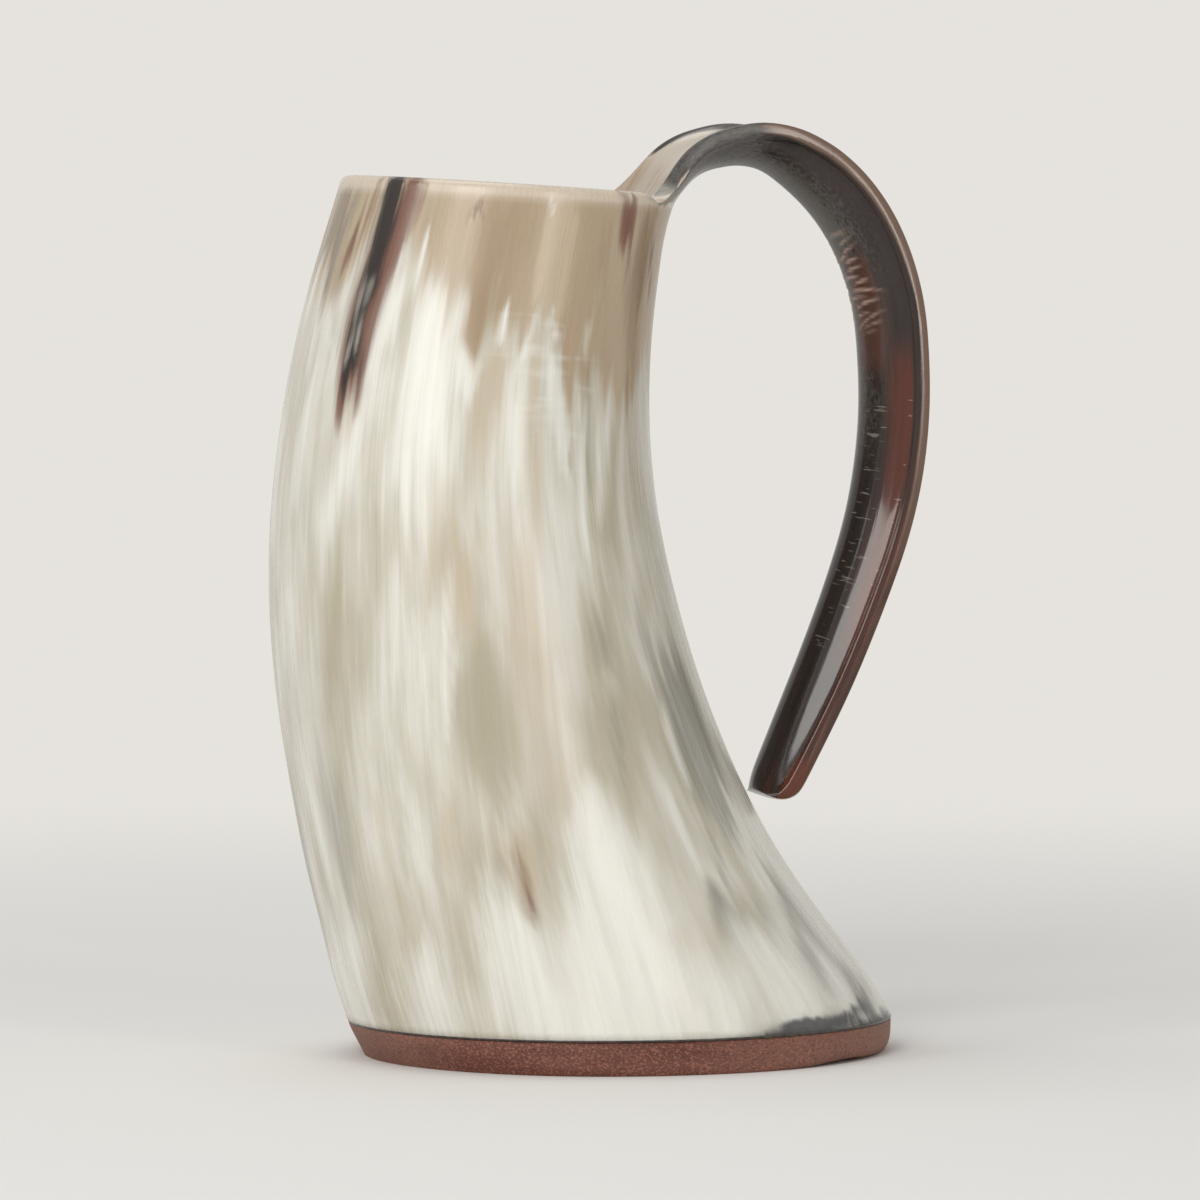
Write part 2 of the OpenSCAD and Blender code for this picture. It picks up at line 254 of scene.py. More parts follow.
add(tree, "OutputMaterial", {"Surface": both.outputs[0]})
floor.data.materials.append(material)
bpy.context.scene.view_settings.view_transform = "Standard"
print("camera, lamps and floor set")


# the horn: body, lip and handle as one continuous piece. Lengths in mm, angles in degrees.
horn = {
    "levels": 2,
    "height": 148.7,  # of the wall at the back
    "footTop": 6.1,
    "sealTop": 17.1,
    "lipDrop": 3.7,
    "lipBack": -50.6,
    "lipFront": 6.8,
    "lipMiddle": -22.4,
    "mouthHalfWidth": 27.0,
    "rootSlope": 0.746,  # half width of the handle's root, seen from the middle of the lip
    # [height, middle, half length, half width]
    "profile": [[6.1, -1.75, 47.18, 41.48], [13.4, -5.23, 46.36, 40.92], [23.8, -10.53, 43.59, 39.33],
                [40.9, -18.09, 40.02, 37.0], [61.0, -24.28, 37.28, 34.68], [81.8, -28.18, 34.85, 32.44],
                [102.0, -29.4, 32.42, 30.41], [122.4, -27.83, 30.48, 28.74], [136.1, -25.28, 29.34, 27.8],
                [148.7, -22.4, 28.2, 27.0]],
    # the handle's crest line along the inside of the loop, [x, z]
    "crest": [[6.8, 145.0], [8.54, 147.35], [10.56, 149.21], [12.78, 150.52], [15.85, 151.42],
              [19.39, 151.9], [23.68, 151.14], [27.5, 148.38], [31.33, 145.0], [35.05, 140.4],
              [38.12, 134.6], [40.38, 127.5], [41.32, 120.0], [41.6, 109.8], [40.68, 100.0],
              [38.75, 90.5], [35.49, 80.3], [31.26, 69.3], [26.38, 57.5], [21.25, 45.0]],
    "crestSteps": 900,
    # from this line forward below the lip there is only the handle, [height, x]
    "bodyFront": [[45, -40], [60, 8], [150, 8]],
    # the depth of the handle from its crest line to its edges, [length from the root, depth]
    "edgeDepth": [[0, 6.9], [11, 7.07], [17.6, 8.1], [24.3, 9.54], [33.8, 10.13], [48.7, 10.2], [74, 10.1],
                  [95, 9.5], [115, 8.86], [135, 7.0]],
    "edgeThickness": 3.1,
    "wall": 4,  # how deep the fibres' pattern follows the skin inwards
    "handleDepth": 12,
    # the strip curves across, so its skin lies deeper towards its edges:
    # [length from the root, mm of depth for each square mm from the middle]
    "skinCurve": [[0, 0.0205], [30, 0.068]],
    "outsideSharp": 1.2,  # how sharply the outer wall's marks end over the rim
    "belowLip": 0.3,
    # where the painted highlight along the lip starts and is full
    "rimHighlightFrom": (147.5, 148.4),
    "fibreRadius": 30.0,  # the fibres' pattern is drawn on a tube of this radius
    # the fibres lean round the horn by this much for each mm down, below this height, from a soft start
    "fibreLean": {"degrees": 0.25, "below": 90, "soft": 20, "front": (45, 95), "back": (180, 130)},
    # hand-polished unevenness: depth on body and handle, size round and along, and where it fades in
    "uneven": {"body": 0.16, "handle": 0.14, "round": 2.4, "tall": 34, "start": 7, "from": (8, 20)},
}
# the wrinkles on the inside of the bend
wrinkles = {
    "x": 29, "y": 8.5, "z": (112, 149),  # where the faces are made finer
    "loopMiddle": (20, 0, 108), "facing": 0.35,
    "from": 35.5, "pitch": 1.15, "count": 17,  # rows along the handle, mm from its root
    "thin": 0.22, "deep": 0.16, "ridge": 0.6,  # of a groove, mm, and the ridge's height for its depth
    "soft": 1.4, "bow": 0.05,  # how sharply a ridge ends, and how much it bows
    # [size, how much it strays from one to the next]
    "offMiddle": (3.2, 2.6), "slant": (0.25, 0.5), "halfLength": (1.7, 2.4), "stray": 1.1,
    "step": (0.73, 3.1, 0.4),  # through the noise
}


def lipHeight(x):
    return horn["height"] - horn["lipDrop"] * (x - horn["lipBack"]) / (horn["lipFront"] - horn["lipBack"])


cup = copyNodes("horn_cup", ["horn_body", "handle"])
pick(cup, "FACE", lambda p: abs(p.z - lipHeight(p.x)) < flat
     and abs(p.y) < horn["rootSlope"] * (p.x - horn["lipMiddle"]))
bpy.ops.mesh.delete(type="FACE")  # the two faces where the handle meets the lip
bpy.ops.mesh.select_all(action="SELECT")
bpy.ops.mesh.remove_doubles(threshold=mergeGap)
bpy.ops.mesh.select_mode(type="EDGE")
bpy.ops.mesh.select_all(action="DESELECT")
bpy.ops.mesh.select_non_manifold()
bpy.ops.object.mode_set(mode="OBJECT")
print("open edges at the handle's root:", sum(e.select for e in cup.data.edges))
pick(cup, "EDGE", lambda p: p.z < horn["footTop"] + flat)
bpy.ops.transform.edge_crease(value=1)
finishPiece(cup, horn["levels"])

# finer faces where the bend has wrinkled the handle's inside
bpy.context.tool_settings.mesh_select_mode = (False, False, True)
selectNothing(cup)
for face in cup.data.polygons:
    spot = face.center / mm
    towards = Vector(wrinkles["loopMiddle"]) - spot
    face.select = (spot.x > wrinkles["x"] and wrinkles["z"][0] < spot.z < wrinkles["z"][1]
                   and abs(spot.y) < wrinkles["y"]
                   and face.normal.dot(towards) > wrinkles["facing"] * towards.length)
bpy.ops.object.mode_set(mode="EDIT")
bpy.ops.mesh.subdivide(number_cuts=1, smoothness=0, ngon=False)
bpy.ops.object.mode_set(mode="OBJECT")
print("horn:", len(cup.data.polygons), "faces")

# where each point lies on the body: its level between foot and lip, its turn round the horn, its depth
place = points(cup)
x, y, z = place.T
facing = np.array([v.normal for v in cup.data.vertices])
strip = np.zeros(len(place))  # 1 on the handle
group = cup.vertex_groups["strip"].index
for v in cup.data.vertices:
    for g in v.groups:
        if g.group == group:
            strip[v.index] = g.weight
cup.vertex_groups.clear()
strip = np.where((z < lipHeight(x) - horn["belowLip"]) & (x < linesThrough(horn["bodyFront"], z)), 0, strip)
strip = np.where(strip > 0.5, 1.0, 0.0)
body = 1 - strip

profile = np.array(horn["profile"])
tilt = horn["lipDrop"] * np.clip((z - horn["sealTop"]) / (horn["height"] - horn["sealTop"]), 0, 1)
level = z + tilt * (x - horn["lipBack"]) / (horn["lipFront"] - horn["lipBack"])
onWall = np.clip(level, horn["footTop"], horn["height"])
middle, halfLength, halfWidth = (curveThrough(profile[:, [0, k]], onWall) for k in (1, 2, 3))
turn = np.arctan2(y / halfWidth, (x - middle) / halfLength)
depth = (1 - np.hypot((x - middle) / halfLength, y / halfWidth)) * (halfLength + halfWidth) / 2
depth = np.clip(depth, 0, horn["wall"])

# the same on the handle: its length from the lip, its turn across the strip, its depth from the crest line
crest = np.array(horn["crest"])
run = np.concatenate([[0], np.cumsum(np.linalg.norm(np.diff(crest, axis=0), axis=1))])
fine = np.linspace(0, run[-1], horn["crestSteps"])
crestX = curveThrough(np.c_[run, crest[:, 0]], fine)
crestZ = curveThrough(np.c_[run, crest[:, 1]], fine)
lookup = kdtree.KDTree(len(fine))
for i in range(len(fine)):
    lookup.insert((crestX[i], 0, crestZ[i]), i)
lookup.balance()
along, into, acrossFace = level.copy(), depth.copy(), np.zeros(len(place))
for i in np.nonzero(strip > 0)[0]:
    k = lookup.find((x[i], 0, z[i]))[1]
    a, b = max(k - 1, 0), min(k + 1, len(fine) - 1)
    dx, dz = crestX[b] - crestX[a], crestZ[b] - crestZ[a]
    size = math.hypot(dx, dz)
    along[i] = horn["height"] + fine[k]
    into[i] = (-dz * (x[i] - crestX[k]) + dx * (z[i] - crestZ[k])) / size
    acrossFace[i] = (-dz * facing[i, 0] + dx * facing[i, 2]) / size
turn = np.where(strip > 0, np.arcsin(np.clip(y / horn["mouthHalfWidth"], -1, 1)), turn)
into = np.where(strip > 0, np.clip(into, 0, horn["handleDepth"]), into)
down = along - horn["height"]  # length along the handle, from its root

# the foot flares below the handle, so the fibres at the sides stay steeper than the horn's middle line
lean = horn["fibreLean"]
sideways = np.abs(np.degrees(turn))
flare = np.clip(lean["below"] - along, 0, None)
flare = np.where(flare < lean["soft"], flare**2 / (2 * lean["soft"]), flare - lean["soft"] / 2)
flare = flare * ramp(sideways, *lean["front"]) * ramp(sideways, *lean["back"])
grown = turn - np.sign(turn) * np.radians(lean["degrees"] * flare)
outward = facing[:, 0] * np.cos(turn) + facing[:, 1] * np.sin(turn)
outside = smooth(0.5 + horn["outsideSharp"] * outward) * body
inner = body * (1 - outside)  # 1 on the wall inside the cup
skin = linesThrough(horn["skinCurve"], down) * y**2
tube = horn["fibreRadius"] - np.where(strip > 0, np.clip(into - skin, 0, horn["wall"]), into)
keep(cup, "flow", np.c_[tube * np.cos(grown), tube * np.sin(grown), along])

# The markings of this horn, painted as soft strokes that the shader's fibres break up.
# Each is [height from, angle from, height to, angle to, half width in mm, strength].
# Angles in degrees round the horn: 0 below the handle, -90 the side to the camera, 180 the back.
strokes = {
    "olive": [  # olive grey clouds
        [121, -128, 108, -128, 0.6, 0.8], [117, -50, 89, -60, 1.5, 0.9], [91, -110, 82, -111, 3, 0.7],
        [84, -147, 62, -150, 2.4, 0.85], [83, -73, 64, -78, 2.1, 0.6], [77, -69, 66, -72, 2.6, 1],
        [71, -103, 55, -108, 4.5, 0.85], [70, -58, 56, -59, 4.5, 0.7], [66, -61, 50, -63, 5, 0.6],
        [64, -104, 49, -112, 3.1, 0.9], [62, -154, 46, -156, 2.4, 0.55], [61, -70, 48, -74, 2.8, 1],
        [60, -77, 52, -80, 3.5, 0.8], [58, -75, 46, -77, 4, 0.6], [53, -54, 30, -50, 3.1, 0.7],
        [52, -133, 38, -137, 4, 0.5], [52, -77, 42, -79, 2.8, 0.5], [47, -120, 30, -124, 2.1, 0.5],
        [47, -74, 30, -79, 2.8, 0.7], [44, -102, 30, -108, 2.4, 0.75], [41, -179, 31, -180, 1.4, 0.4],
        [41, -60, 34, -62, 3, 0.5], [28, -54, 17, -58, 2.1, 0.5], [25, -58, 16, -58, 4, 0.6],
    ],
    "beige": [  # warm clouds
        [121, -94, 113, -94, 0.8, 0.6], [121, -84, 88, -83, 1.5, 0.9], [120, -102, 99, -102, 2, 0.8],
        [120, -96, 106, -95, 3.5, 0.6], [117, -96, 110, -95, 2.5, 0.7],
        [114, -144, 103, -144, 1.2, 0.9], [98, -112, 84, -112, 3.5, 0.6], [88, -90, 73, -90, 3.1, 0.7],
        [87, -106, 75, -107, 2.4, 0.9], [74, -90, 48, -96, 4.2, 0.75], [47, -124, 35, -128, 1.8, 0.6],
        [46, -142, 32, -146, 1.4, 0.5], [42, -108, 34, -110, 2.5, 0.9], [42, -88, 33, -92, 3, 0.45],
        [32, -143, 20, -147, 1.8, 0.5], [23, -104, 12, -110, 3.5, 0.45], [23, -81, 19, -78, 2.5, 0.7],
    ],
    "slate": [  # grey marks
        [149, -167, 134, -170, 2.4, 0.8], [148, -132, 133, -129, 0.9, 0.3],
        [145, -151, 134, -150, 1.6, 0.7], [139, -170, 129, -166, 1.4, 0.5],
        [136, -162, 118, -153, 1.5, 0.45], [133, -133, 129, -134, 0.7, 0.45],
        [121, -64, 95, -64, 0.3, 0.7], [120, -72, 115, -72, 0.5, 0.5], [85, -180, 64, -176, 1.1, 0.3],
        # The rows near -41 to -46 degrees, 45 to 68 mm up, are grey marks and painted shade on the side that
        # turns from the light.
        [83, -54, 66, -50, 2.1, 0.5], [75, -70, 67, -70, 2, 0.5], [68, -46, 60, -42, 1.6, 0.8],
        [68, -45, 50, -42, 3, 0.9], [68, -41, 50, -41, 3.2, 1], [63, -44, 55, -44, 2.2, 1],
        [63, -42, 56, -42, 2.6, 1], [62, -43, 48, -43, 3.5, 0.9], [60, -51, 46, -51, 3, 0.6],
        [59, -71, 50, -74, 2, 0.5], [52, -159, 38, -161, 4, 0.4], [51, -45, 45, -45, 1.4, 0.6],
        [48, -161, 24, -162, 1.8, 0.45], [42, -55, 29, -59, 1, 0.5], [38, -114, 30, -117, 1.3, 0.35],
        [30, -40, 18, -40, 4, 0.8], [29, -154, 12, -159, 0.5, 0.4], [29, -82, 13, -87, 0.7, 0.4],
        [25, -66, 20, -64, 2.8, 0.85], [24, -47, 15, -47, 4, 0.6], [23, -118, 9, -126, 0.6, 0.4],
        [22, -46, 14, -46, 3, 0.6], [20, -98, 9, -104, 0.4, 0.4], [15.6, -34, 9.7, -38, 1.3, 0.9],
        [15, -83, 7, -86, 0.7, 0.6], [14, -34, 11, -36, 1.3, 0.7], [13, -65, 7, -65, 0.8, 0.6],
        [12, -53, 8, -55, 0.8, 0.5], [12, -36, 8, -38, 1.6, 1], [12, -29, 7, -32, 1.7, 0.7],
        [11, -76, 6, -78, 0.6, 0.6], [8.5, -74, 9.7, -44, 1, 0.5], [8, -74, 8, -40, 1.8, 1],
        [5.8, -128, 5.8, -102, 1, 0.7],
    ],
    "shade": [  # painted shade: darker brown bands where the tan zone's planed facets turn from the light, and towards its right side
        [149, -106, 130, -102, 4.5, 0.5], [149, -66, 131, -60, 1.5, 0.4], [149, -43, 135, -42, 3, 0.8],
        [147, -178, 132, -172, 2.6, 0.7], [146, -50, 122, -44, 2.6, 0.5],
    ],
    "band": [  # painted sheen: paler bands where the tan zone's planed facets catch the light
        [149, -124, 132, -119, 2.7, 0.3], [149, -83, 129, -82, 4.3, 0.7],
    ],
    "chalk": [  # white marks
        # The first row is a painted highlight, a small glint below the rim; the other rows are white marks.
        [148, -89, 143, -86, 0.5, 0.75], [137, -128, 128, -127, 0.8, 1], [136, -136, 129, -138, 1, 1],
        [133, -169, 122, -168, 1.5, 0.8], [133, -110, 125, -112, 1.1, 0.8],
        [133, -66, 127, -66, 0.9, 0.6], [130, -138, 116, -138, 2, 1], [128, -76, 124, -80, 1, 0.75],
        [127, -96, 120, -96, 0.8, 1], [126, -133, 118, -132, 1.3, 0.9], [126, -120, 113, -120, 2.9, 1],
        [125, -158, 122, -155, 0.9, 0.7], [124.3, -107, 119.6, -106, 2.6, 0.9],
        [124, -89, 121, -88, 1.3, 0.8], [123, -104, 120, -106, 1.2, 0.6],
        [122, -114, 104, -115, 4, 0.9], [121, -68, 115, -68, 0.6, 0.5], [120, -77, 112, -76, 1.5, 1],
        [118, -76, 109, -75, 3, 0.8], [117, -106, 100, -109, 1, 0.6], [117, -90, 100, -90, 2.1, 1],
        [116, -164, 98, -165, 2.7, 0.8], [114, -122, 95, -122, 4.9, 1], [114, -66, 88, -68, 0.9, 0.85],
        [114, -25, 87, -24, 1.1, 0.55], [113, -59, 94, -61, 0.9, 0.75], [112, -137, 93, -149, 4, 0.9],
        [84, -111, 64, -116, 1.4, 0.7], [83, -34, 64, -16, 0.8, 0.6], [81, -169, 67, -169, 1.8, 0.7],
        [77, -125, 63, -129, 4.2, 0.75], [68, -111, 57, -117, 1.4, 0.6], [67, -54, 51, -55, 1, 0.8],
        [58, -133, 45, -136, 2.8, 0.45], [50, -169, 29, -170, 1.4, 0.8], [48, -94, 38, -96, 1.8, 0.6],
        [46, -44, 36, -47, 0.8, 0.6], [45, -89, 30, -92, 5, 0.9], [45, -64, 30, -66, 1.1, 0.85],
        [44, -132, 33, -136, 1.7, 0.6], [35, -99, 21, -103, 1.1, 0.9], [35, -88, 12, -98, 5.5, 1],
        [34, -94, 22, -98, 5, 0.9], [32, -46, 17, -52, 1.3, 0.7], [30, -118, 8, -124, 3.5, 0.95],
        [27, -114, 16, -116, 1.4, 0.6], [24, -42, 12, -42, 2.1, 0.6], [22, -167, 8, -176, 4.9, 0.9],
        [22, -120, 10, -123, 4, 0.8], [20, -104, 8, -106, 5, 0.9], [20, -96, 6, -102, 6, 0.9],
        [19, -142, 7, -146, 4.2, 0.85], [18, -78, 8, -82, 5, 0.9], [18, -63, 9, -64, 4, 0.8],
        [17, -58, 10, -55, 1.1, 0.7], [16.8, -43, 10.9, -45, 2.2, 0.6], [16, -76, 8, -80, 1.8, 0.8],
        [16, -59, 10, -59, 5, 0.8], [13, -114, 8, -116, 3.5, 0.8],
    ],
    "dark": [  # the near-black streak under the rim
        [162, -148, 141, -146, 2.2, 1], [145, -147, 136, -146, 1.6, 0.7],
        [137, -144, 128, -146, 1.6, 0.6], [130, -148, 122, -147, 2, 0.5],
        [126, -144, 119, -145, 1.3, 0.5],
    ],
    "rust": [  # red-brown marks
        [158, -139, 139, -140, 2.1, 1], [149, -156, 140, -157, 2.2, 0.5],
        [149, -114, 147, -114, 0.9, 0.7], [149, -56, 144, -55, 2.5, 0.9],
        [148, -112, 144, -110, 0.5, 0.35], [148, -38, 124, -31, 0.7, 0.7],
        [146, -139, 136, -140, 2.2, 0.8], [143, -139, 125, -142, 2.3, 1],
        [142, -53, 134, -52, 0.7, 0.3], [141, -160, 136, -160, 1.2, 0.5],
        [136, -146, 117, -146, 3.6, 1], [122, -46, 110, -46, 0.7, 0.45], [115, -71, 110, -71, 0.4, 0.4],
        [42, -109, 29, -112, 1.1, 0.5],
    ],
    "ink": [  # the blue-black line over the seam
        [12, -33, 7, -34, 1, 0.7], [10, -38, 8, -37, 1, 0.7], [7.3, -78, 9.1, -40, 0.9, 1],
        [7.2, -70, 7.2, -56, 0.9, 0.8], [6, -78, 6, -20, 1, 1], [5.5, -122, 5.5, -106, 0.6, 0.6],
    ],
    "scratch": [  # pale scratches through the streak
        [148, -150, 139, -149, 0.3, 0.8], [141, -147, 130, -147, 0.3, 0.9],
        [137, -144, 131, -144, 0.3, 0.6], [134, -149, 124, -148, 0.3, 0.8],
        [130, -145, 121, -144, 0.3, 0.7],
    ],
    "ripple": [  # crosswise ripples
        [119, -84, 112, -80, 9, 0.8],
    ],
}
# how far down the tan zone below the rim reaches, [angle, height]
tanLine = [[-180, 128], [-165, 131], [-150, 135], [-138, 136], [-126, 132], [-114, 131], [-108, 126],
           [-95, 123], [-80, 124], [-68, 121], [-58, 118], [-45, 114], [-30, 116], [0, 120], [30, 124],
           [60, 130], [90, 126], [120, 133], [150, 129], [180, 134]]
brush = {
    "degree": 0.6,  # mm round the horn for each degree
    "spread": 1.2, "least": 0.6,  # a stroke's soft edge to its half width, and the least half width
    "across": 1.1, "ends": 0.9,  # how sharply a stroke falls off at its sides and ends
    "waver": {"round": 1.6, "tall": 22, "angle": 1.5, "height": 2.5, "tan": 2},  # of all marks
    # every bundle of fibres ends at its own height: [width, length, how far the ends differ]
    "fingers": [[5.0, 70, 9.0], [1.3, 45, 7.0]],
    "fingersFrom": (9, 31), "fingersLeast": 0.06,  # they are short near the foot
    "tanEdge": 14,
    "throughWall": ("dark", "rust"), "innerFade": 0.3,  # marks that show inside the cup too
    # the far side carries the same kinds of marks, turned, and raised between these heights
    "farTurn": 11, "farRise": -7, "farHeights": (20, 120),
}


def noiseOver(kind, radius, turns, heights):  # noise on a tube, for each point
    spots = np.c_[radius * np.cos(turns), radius * np.sin(turns), heights]
    return np.array([kind(Vector(spot)) for spot in spots])


waver = brush["waver"]
wobble = noiseOver(noise.noise_vector, waver["round"], turn, along / waver["tall"])
fingers = sum(size * noiseOver(noise.noise, tube / wide, grown, along / tall)
              for wide, tall, size in brush["fingers"])
low, high = brush["fingersFrom"]
degrees = np.degrees(turn)
markAngle = degrees + wobble[:, 0] * waver["angle"]
markHeight = (along + wobble[:, 1] * waver["height"]
              + fingers * np.clip((along - low) / (high - low), brush["fingersLeast"], 1))


def stroke(side, heightFrom, angleFrom, heightTo, angleTo, wide, strength):
    low, high = brush["farHeights"]
    turned = brush["farTurn"] if side == -1 else 0
    raised = brush["farRise"] if side == -1 and low < heightFrom < high else 0
    start, end = side * angleFrom + turned, side * angleTo + turned
    away = np.c_[((markAngle - start + 180) % 360 - 180) * brush["degree"], markHeight - heightFrom - raised]
    line = np.array([(end - start) * brush["degree"], heightTo - heightFrom])
    length = np.linalg.norm(line)
    beside = np.abs(away @ [line[1], -line[0]]) / length / max(wide * brush["spread"], brush["least"])
    beyond = np.abs(away @ line / length**2 - 0.5) / (0.5 + wide / length)
    return strength * np.exp(-brush["across"] * beside**2 - brush["ends"] * beyond**4)


for kind, rows in strokes.items():
    bare = np.ones(len(place))
    for side in (1, -1):
        for row in rows:
            bare *= 1 - stroke(side, *row)
    reaches = 1 - brush["innerFade"] * inner if kind in brush["throughWall"] else outside
    keep(cup, kind, (1 - bare) * body * reaches)
tan = smooth(0.5 + (along - linesThrough(tanLine, degrees) + wobble[:, 2] * waver["tan"] + fingers)
             / brush["tanEdge"])
keep(cup, "tan", tan * body)
# painted highlight: a pale line along the lip
keep(cup, "rim", body * ramp(level, *horn["rimHighlightFrom"]))
keep(cup, "inner", inner)

# the handle: cream at its root, sanded grey with a painted sheen over the top, dark and polished below, amber
# at its tip
handle = {
    # mm from the root where each zone starts, is full, begins to fade and is gone, and its strength.
    # Zones that reach the root start before it, and those that reach the tip end beyond it.
    "zones": {
        "creamRoot": (-2, -1, 9, 17, 1.3),
        "tanInside": (-2, -1, -1, 6, 1), "tanOutside": (-2, -1, 2, 9, 0.45),
        "sandedInside": (2, 7, 36, 62, 1), "scuffedInside": (40, 60, 61, 86, 0.4),
        "sandedOutside": (12, 20, 40, 80, 0.5), "sandedRoot": (-2, 0, 14, 19, 0.7),
        "heated": (36, 43, 54, 66, 1),
        "nickedEdge": (22, 28, 92, 112, 1), "nickedFace": (58, 66, 106, 120, 1),
        "amberInside": (50, 64, 100, 120, 0.95), "amberEdge": (60, 90, 190, 200, 0.55),
        "amberTip": (126, 134, 190, 200, 1), "tip": (124, 133, 190, 200, 1),
        "cutBand": (14, 19, 190, 200, 1),
    },
    "stripFrom": (-1, 2),
    "creamLeavesEdges": (2, 7),  # the cream root narrows here
    "outsideSharp": 2.5, "edgeFacing": (0.4, 0.65), "edgeFrom": (-0.5, 0.2),  # where its faces part
    "sandedLeast": 0.1,  # of the sanding, over the whole width inside
    "heatedClears": 0.75,  # how much of the sanded grey and its painted sheen the heat has taken away
    "amberTipLeast": 0.25, "amberTipCut": 0.9,
    "bandFades": (96, 66), "bandLeast": 0.35,
    "bandFrom": [[20, 0], [50, 0.8]],  # how far out on the cut edge its pale band starts, along the handle
    "bandSoft": 0.9,
    # mm from the handle's middle, where something starts and is full
    "smoothMiddle": (8.5, 2.5), "scuffedMiddle": (7.5, 2.5), "amberSides": (4.2, 7.2),
    "heatedLine": 3.6, "heatedWidth": (3.9, 1.3), "nickedLine": 4, "nickedWidth": 3.5, "nickedEdgeWidth": 0.7,
    # the root's width is measured in steps down it, each over this many mm up and down
    "rootSteps": (0, 31, 2), "rootSlice": 1.5,
    # shares of the way from the root's middle to its edge, where something starts and is full
    "creamTo": (0.7, 0.84), "tanTo": (0.72, 0.52), "darkFrom": (0.55, 0.75),
}


def zone(name):  # how strong a zone along the handle is at each point
    start, full, fading, gone, strength = handle["zones"][name]
    return strength * ramp(down, start, full) * ramp(down, gone, fading)


offMiddle = np.abs(y)
toTip = np.clip(down, 0, horn["edgeDepth"][-1][0])
edgeLevel = into - curveThrough(horn["edgeDepth"], toTip) + horn["edgeThickness"]
edge = strip * ramp(np.abs(facing[:, 1]), *handle["edgeFacing"]) * ramp(edgeLevel, *handle["edgeFrom"])
outer = strip * smooth(0.5 + handle["outsideSharp"] * acrossFace) * (1 - edge)
inside = strip * (1 - outer) * (1 - edge)
cutFaces = np.maximum(outer, edge)
steps = np.arange(*handle["rootSteps"])
span = [offMiddle[(strip > 0) & (np.abs(down - d) < handle["rootSlice"])].max() for d in steps]
rootSide = offMiddle / np.interp(down, steps, span)  # 0 in the middle of the root, 1 at its edges
heated = inside * zone("heated") * ramp(np.abs(offMiddle - handle["heatedLine"]), *handle["heatedWidth"])
least = handle["sandedLeast"]
# sanded grey, which also paints the lamps' sheen on the handle's top
sandedAndSheen = (inside * zone("sandedInside") * (least + (1 - least) * ramp(offMiddle, *handle["smoothMiddle"]))
          + inside * zone("scuffedInside") * ramp(offMiddle, *handle["scuffedMiddle"])
          + outer * zone("sandedOutside")
          + (edge + inside * ramp(rootSide, *handle["darkFrom"])) * zone("sandedRoot"))
tip = zone("tip") * cutFaces
least = handle["bandLeast"]
band = edge * (least + (1 - least) * ramp(down, *handle["bandFades"]))
band = band * ramp(edgeLevel - linesThrough(handle["bandFrom"], down), 0, handle["bandSoft"])
onHandle = {
    "strip": strip * ramp(down, *handle["stripFrom"]),
    "rootCream": outer * zone("creamRoot")
    * (1 - ramp(down, *handle["creamLeavesEdges"]) * ramp(rootSide, *handle["creamTo"])),
    "rootTan": inside * zone("tanInside") * ramp(rootSide, *handle["tanTo"]) + outer * zone("tanOutside"),
    # sanded grey and a painted sheen of the lamps on the handle's top
    "hazeAndSheen": sandedAndSheen * (1 - handle["heatedClears"] * np.clip(heated, 0, 1)),
    "pink": heated,
    "tip": tip,
    "cutBand": band * zone("cutBand") * (1 - tip),
    "nick": inside * bell(edgeLevel, handle["nickedEdgeWidth"]) * zone("nickedEdge")
    + inside * bell(offMiddle - handle["nickedLine"], handle["nickedWidth"]) * zone("nickedFace"),
    "amber": inside * zone("amberInside") * ramp(offMiddle, *handle["amberSides"]) + edge * zone("amberEdge")
    + strip * zone("amberTip") * (handle["amberTipLeast"] + handle["amberTipCut"] * cutFaces),
}
for name, values in onHandle.items():
    keep(cup, name, np.clip(values, 0, 1))
print("markings painted")

# hand-polished unevenness, inwards only, and the wrinkles as single ridges, each with a groove beside it
uneven = horn["uneven"]
wave = noiseOver(noise.noise, uneven["round"], turn, along / uneven["tall"] + uneven["start"])
low, high = uneven["from"]
move = (wave - 1) / 2 * np.where(strip > 0, uneven["handle"], uneven["body"]) * (outside + strip)
move = move * np.clip((level - low) / (high - low), 0, 1)
ridge, groove = np.zeros(len(place)), np.zeros(len(place))
for i in range(wrinkles["count"]):
    for side in (-1, 1):
        stepI, stepSide, start = wrinkles["step"]
        jitter = noise.noise_vector(Vector((i * stepI, side * stepSide, start)))
        offSide, slant, halfLong = (wrinkles[key][0] + wrinkles[key][1] * stray for key, stray in (
            ("offMiddle", jitter.x), ("slant", jitter.z), ("halfLength", abs(jitter.z))))
        over = y - side * offSide
        off = (down - wrinkles["from"] - wrinkles["pitch"] * i - wrinkles["stray"] * jitter.y
               - slant * over - wrinkles["bow"] * over**2)
        strong = inside * smooth(wrinkles["soft"] * (1 - np.abs(over) / halfLong))
        strong = strong * math.sin(math.pi * (i + 0.5) / wrinkles["count"]) ** 0.5
        ridge = np.maximum(ridge, strong * bell(off, wrinkles["thin"]))
        groove = np.maximum(groove, strong * bell(off - 2 * wrinkles["thin"], wrinkles["thin"]))
# the ridges also carry a painted highlight, a pale colour on each ridge
keep(cup, "wrinkleHighlight", ridge)
move = move + wrinkles["deep"] * (ridge * wrinkles["ridge"] - groove)
moveTo(cup, place + facing * move[:, None])

